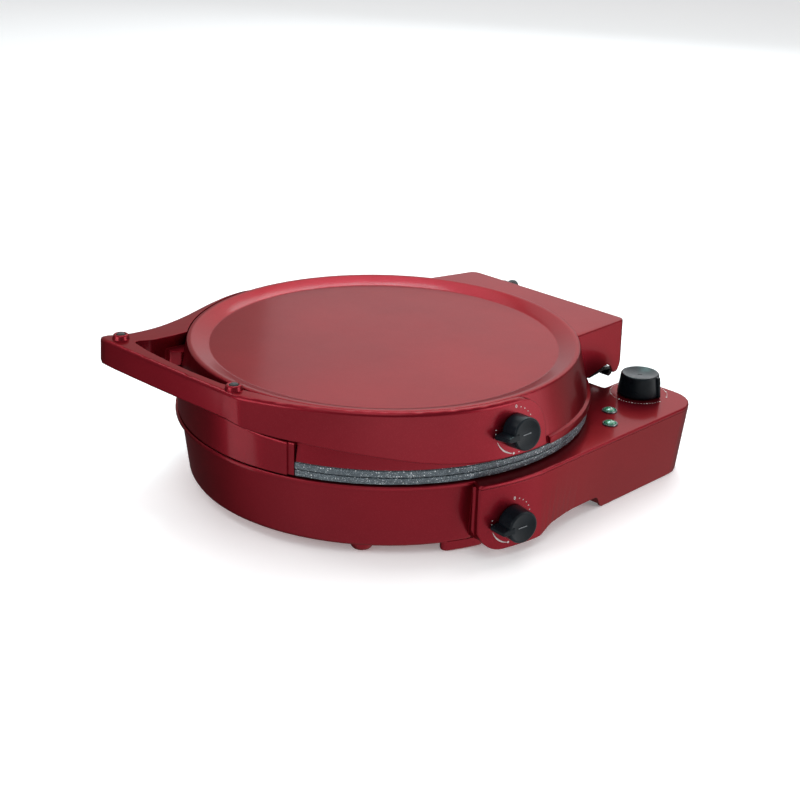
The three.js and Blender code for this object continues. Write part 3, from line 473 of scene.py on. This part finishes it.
UP = dial_frame(-9.4, 199.7, 114.2, 6.5)
LO = dial_frame(-12.5, 215.5, 34.5)
TOP = (mm(159.8, 203.9, 74.0), Vector((1, 0, 0)), Vector((0, 1, 0)), Vector((0, 0, 1)))
trees = {n: tree_of(n) for n in ("handle_frame", "base_shell", "base_frame")}
for tag, where, node, body in (("upper", UP, "handle_frame", "lid"), ("lower", LO, "base_shell", "base")):
    zc = clock(21.6, 5.6)
    decal(tag + "_dial_zero", zero(zc[0], zc[1], 2.0, 3.2, 0.55), where, trees[node], body, INK)
    spots = [dot(*clock(21.3, a), 0.55) for a in (20.7, 34.3, 48.0, 61.6, 75.2, 88.8, 102.4, 116.0, 129.6, 143.2, 156.8, 170.4, 271.0, 281.0)]
    spots.append(dot(*clock(21.3, 187.0), 1.1))
    decal(tag + "_dial_dots", spots, where, trees[node], body, INK)
    decal(tag + "_dial_arc", arc_band(lambda q: 0.5 + 0.9 * math.sin(math.pi * min(q * 1.1, 1.0)), 21.3, 192.0, 249.0), where, trees[node], body, INK)
ring = [dot(28.5 * math.cos(math.radians(a)), 28.5 * math.sin(math.radians(a)), 0.5 if k % 5 else 0.85) for k, a in enumerate(range(24, 355, 6))]
decal("timer_scale", ring, TOP, trees["base_frame"], "base", INK)


# ------------------------------------------------------------------ pointer lines of the dials
def bar_on(name, where, ang, r0, r1, w, z, body, mat, h=0.12):
    origin, ux, uy, nn = where
    d = ux * math.cos(math.radians(ang)) + uy * math.sin(math.radians(ang))
    s = nn.cross(d)
    verts, n = [], 6
    out = []
    for k in range(n + 1):
        a = math.pi / 2 + math.pi * k / n
        out.append((r0 + w / 2 + w / 2 * math.cos(a), w / 2 * math.sin(a)))
    for k in range(n + 1):
        a = -math.pi / 2 + math.pi * k / n
        out.append((r1 - w / 2 + w / 2 * math.cos(a), w / 2 * math.sin(a)))
    for hh in (z, z + h):
        verts += [origin + (d * x + s * y + nn * hh) / 1000.0 for x, y in out]
    m = len(out)
    faces = [list(range(m, 2 * m)), list(reversed(range(m)))] + [[i, (i + 1) % m, m + (i + 1) % m, m + i] for i in range(m)]
    return piece(name, verts, faces, mat, body)


bar_on("upper_dial_line", UP, 95, -4.7, 4.7, 0.7, 16.22, "upper_dial", GREY_INK, 0.5)
bar_on("lower_dial_line", LO, 95, -4.7, 4.7, 0.7, 16.22, "lower_dial", GREY_INK, 0.5)

# ------------------------------------------------------------------ lead between the housings
LEAD = [(-37, 170, 24), (-37, 177, 24), (-37, 184, 24), (-39, 190.4, 28.6), (-41, 191.4, 40), (-42, 193, 52), (-43, 204, 63), (-43, 222, 76),
        (-42, 235, 95), (-40, 241, 118), (-38, 239.4, 129.5), (-37, 233, 133.4), (-37, 226.4, 131.2), (-37, 220, 131.2), (-37, 212, 131.2)]


def sweep(name, pts, radius, mat, body, steps=150, sides=14, ribs=0.0):
    """Tube along a smooth line, with fine ribs of the woven sleeve."""
    pts = [mm(*p) for p in pts]
    ext = [pts[0] * 2 - pts[1]] + pts + [pts[-1] * 2 - pts[-2]]
    line = []
    per = max(2, steps // (len(pts) - 1))
    for k in range(1, len(ext) - 2):
        p0, p1, p2, p3 = ext[k - 1:k + 3]
        for q in range(per):
            u = q / per
            line.append(0.5 * ((2 * p1) + (p2 - p0) * u + (2 * p0 - 5 * p1 + 4 * p2 - p3) * u * u + (3 * p1 - p0 - 3 * p2 + p3) * u ** 3))
    line.append(pts[-1])
    side = Vector((1, 0, 0))
    verts, faces = [], []
    for k, p in enumerate(line):
        d = (line[min(k + 1, len(line) - 1)] - line[max(k - 1, 0)]).normalized()
        b = d.cross(side).normalized()
        s = b.cross(d).normalized()
        r = (radius - ribs * (k % 2)) / 1000.0
        verts += [p + (s * math.cos(2 * math.pi * i / sides) + b * math.sin(2 * math.pi * i / sides)) * r for i in range(sides)]
    for k in range(len(line) - 1):
        for i in range(sides):
            j = (i + 1) % sides
            faces.append([k * sides + i, k * sides + j, (k + 1) * sides + j, (k + 1) * sides + i])
    faces.append(list(reversed(range(sides))))
    faces.append([(len(line) - 1) * sides + i for i in range(sides)])
    ob = piece(name, verts, faces, mat, body, True, 60.0)
    bm = bmesh.new()
    bm.from_mesh(ob.data)
    bmesh.ops.recalc_face_normals(bm, faces=bm.faces)
    bm.to_mesh(ob.data)
    bm.free()
    return ob


lead = sweep("lid_lead_sleeve", LEAD, 4.1, MATS["lead"], None, ribs=0.12)
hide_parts("lid_lead")
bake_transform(lead)

# ------------------------------------------------------------------ stage, light, camera
def stage_floor():
    s = 6.0
    t = Tree("pale_floor")
    n = t.noise(3.0, 4.0, 0.5)
    t.set(Base_Color=t.ramp(n, [(0.3, (0.88, 0.88, 0.88)), (0.7, (0.9, 0.9, 0.9))]), Roughness=t.remap(n, 0.3, 0.7, 0.6, 0.7), Emission_Color=(1.0, 1.0, 1.0), Emission_Strength=0.2)
    bpy.ops.mesh.primitive_plane_add(size=2 * s, location=(0, 0, -0.0002))
    ob = bpy.context.object
    ob.name = "floor"
    ob.data.materials.append(t.mat)
    ob.visible_glossy = False
    ob.visible_shadow = False
    return ob


stage_floor()

world = bpy.data.worlds.new("studio")
bpy.context.scene.world = world
world.use_nodes = True
wt = world.node_tree
bg = wt.nodes["Background"]
bg.inputs[1].default_value = 1.0
gen = wt.nodes.new("ShaderNodeTexCoord")
dotp = wt.nodes.new("ShaderNodeVectorMath")
dotp.operation = "DOT_PRODUCT"
dotp.inputs[1].default_value = (-0.64, 0.67, 0.37)
wt.links.new(gen.outputs["Generated"], dotp.inputs[0])
wr = wt.nodes.new("ShaderNodeValToRGB")
we = wr.color_ramp.elements
we[0].position, we[0].color = 0.25, (0.26, 0.26, 0.27, 1.0)
we[1].position, we[1].color = 0.92, (1.0, 1.0, 1.0, 1.0)
wt.links.new(dotp.outputs["Value"], wr.inputs[0])


def facing(v):
    """How far a direction points along v."""
    n = wt.nodes.new("ShaderNodeVectorMath")
    n.operation = "DOT_PRODUCT"
    n.inputs[1].default_value = v
    wt.links.new(gen.outputs["Generated"], n.inputs[0])
    return n.outputs["Value"]


def eased(value, a, b, lo, hi):
    n = wt.nodes.new("ShaderNodeMapRange")
    n.interpolation_type = "SMOOTHSTEP"
    for i, v in zip(range(1, 5), (a, b, lo, hi)):
        n.inputs[i].default_value = v
    wt.links.new(value, n.inputs[0])
    return n.outputs[0]


def sky_math(op, a, b):
    n = wt.nodes.new("ShaderNodeMath")
    n.operation = op
    wt.links.new(a, n.inputs[0])
    wt.links.new(b, n.inputs[1])
    return n.outputs[0]


# what the upright walls mirror: an even glow low in front and on the right, brightest just under the horizon, dark at the rear left
height = facing((0.0, 0.0, 1.0))
glow = eased(facing((0.985, -0.174, 0.0)), -0.75, 0.25, 0.1, 0.9)
band = sky_math("MULTIPLY", sky_math("MULTIPLY", eased(facing((0.996, -0.087, 0.0)), 0.25, 0.85, 0.0, 1.15), eased(height, -0.42, -0.12, 0.0, 1.0)), eased(height, 0.02, 0.2, 1.0, 0.0))
side = sky_math("ADD", eased(facing((0.787, 0.615, -0.035)), 0.9, 1.0, 0.0, 1.9), eased(facing((0.45, 0.54, -0.71)), 0.8, 1.0, 0.0, 0.35))
mixed = wt.nodes.new("ShaderNodeMix")
mixed.data_type = "RGBA"
wt.links.new(eased(height, -0.06, 0.03, 0.0, 1.0), mixed.inputs[0])
wt.links.new(sky_math("ADD", sky_math("ADD", glow, band), side), mixed.inputs[6])
wt.links.new(wr.outputs[0], mixed.inputs[7])
wt.links.new(mixed.outputs[2], bg.inputs[0])


def softbox(name, az, el, dist, size, power, size_y=None):
    d = bpy.data.lights.new(name, "AREA")
    d.shape = "RECTANGLE"
    d.size = size
    d.size_y = size_y or size
    d.energy = power
    o = link(bpy.data.objects.new(name, d))
    a, e = math.radians(az), math.radians(el)
    o.location = Vector((math.cos(a) * math.cos(e), math.sin(a) * math.cos(e), math.sin(e))) * dist + Vector((0, 0, 0.07))
    o.rotation_euler = (Vector((0, 0, 0.07)) - o.location).to_track_quat("-Z", "Y").to_euler()
    return o


softbox("key_left", -100, 22, 2.0, 1.2, 14, 0.9)
softbox("key_right", 22, 20, 2.0, 1.1, 13, 0.9)
softbox("overhead", 128, 68, 2.1, 1.9, 21).data.color = (1.0, 0.96, 0.965)
softbox("front_top", -60, 64, 2.1, 1.2, 9)
# narrow panel that the bar of the handle mirrors just before its bend, and a wide one behind that the flat top mirrors
softbox("edge_right", 60, 41, 2.1, 0.55, 5, 0.5)
softbox("edge_left", -150, 42, 2.1, 0.55, 4, 0.5)
softbox("bar_band", -123, -17, 2.0, 0.6, 2.9, 0.7)
softbox("top_sheen", 120, 24, 2.3, 1.7, 12, 1.4).data.color = (0.9, 0.94, 1.0)


def tube(name, a, b, width, glow):
    """A long thin studio tube from a to b, facing the object."""
    a, b = Vector(a), Vector(b)
    d = bpy.data.lights.new(name, "AREA")
    d.shape = "RECTANGLE"
    d.size = (b - a).length * 1.04
    d.size_y = width
    d.energy = glow * math.pi * d.size * width
    d.color = (0.5, 1.0, 1.0)
    o = link(bpy.data.objects.new(name, d))
    z = ((a + b) / 2 - Vector((0, 0, 0.1))).normalized()
    x = (b - a).normalized()
    x = (x - z * x.dot(z)).normalized()
    y = z.cross(x)
    o.matrix_world = Matrix(((x.x, y.x, z.x, (a.x + b.x) / 2), (x.y, y.y, z.y, (a.y + b.y) / 2), (x.z, y.z, z.z, (a.z + b.z) / 2), (0, 0, 0, 1)))
    return o


# a bent studio tube above the rear, which the sloping ring of the lid mirrors as a pale arc
bend = [(-1.0, 0.726, 1.768), (-0.828, 0.767, 1.841), (-0.719, 0.897, 1.827), (-0.704, 1.08, 1.728), (-0.791, 1.27, 1.544), (-0.963, 1.421, 1.28)]
for i, (a, b) in enumerate(zip(bend, bend[1:])):
    tube("ring_tube_%d" % i, a, b, 0.2, (14, 14, 13, 11, 9)[i])

cam = bpy.data.cameras.new("camera")
cam.sensor_fit = "HORIZONTAL"
cam.sensor_width = 36.0
cam.lens = 36.0 * 1700.0 / 800.0
cam.clip_start = 0.05
cam.clip_end = 60.0
camera = link(bpy.data.objects.new("camera", cam))
el, az, roll = math.radians(22.38), math.radians(-46.45), math.radians(1.71)
fw = Vector((-math.cos(az) * math.cos(el), -math.sin(az) * math.cos(el), -math.sin(el)))
right = fw.cross(Vector((0, 0, 1))).normalized()
up = right.cross(fw)
r = right * math.cos(roll) + up * math.sin(roll)
u = -right * math.sin(roll) + up * math.cos(roll)
pos = mm(1077.4, -1108.3, 569.4 + 141.0)
camera.matrix_world = Matrix(((r.x, u.x, -fw.x, pos.x), (r.y, u.y, -fw.y, pos.y), (r.z, u.z, -fw.z, pos.z), (0, 0, 0, 1)))
bpy.context.scene.camera = camera

sc = bpy.context.scene
sc.view_settings.view_transform = "Standard"
sc.view_settings.look = "None"
sc.view_settings.exposure = 0.0
sc.view_settings.gamma = 1.0
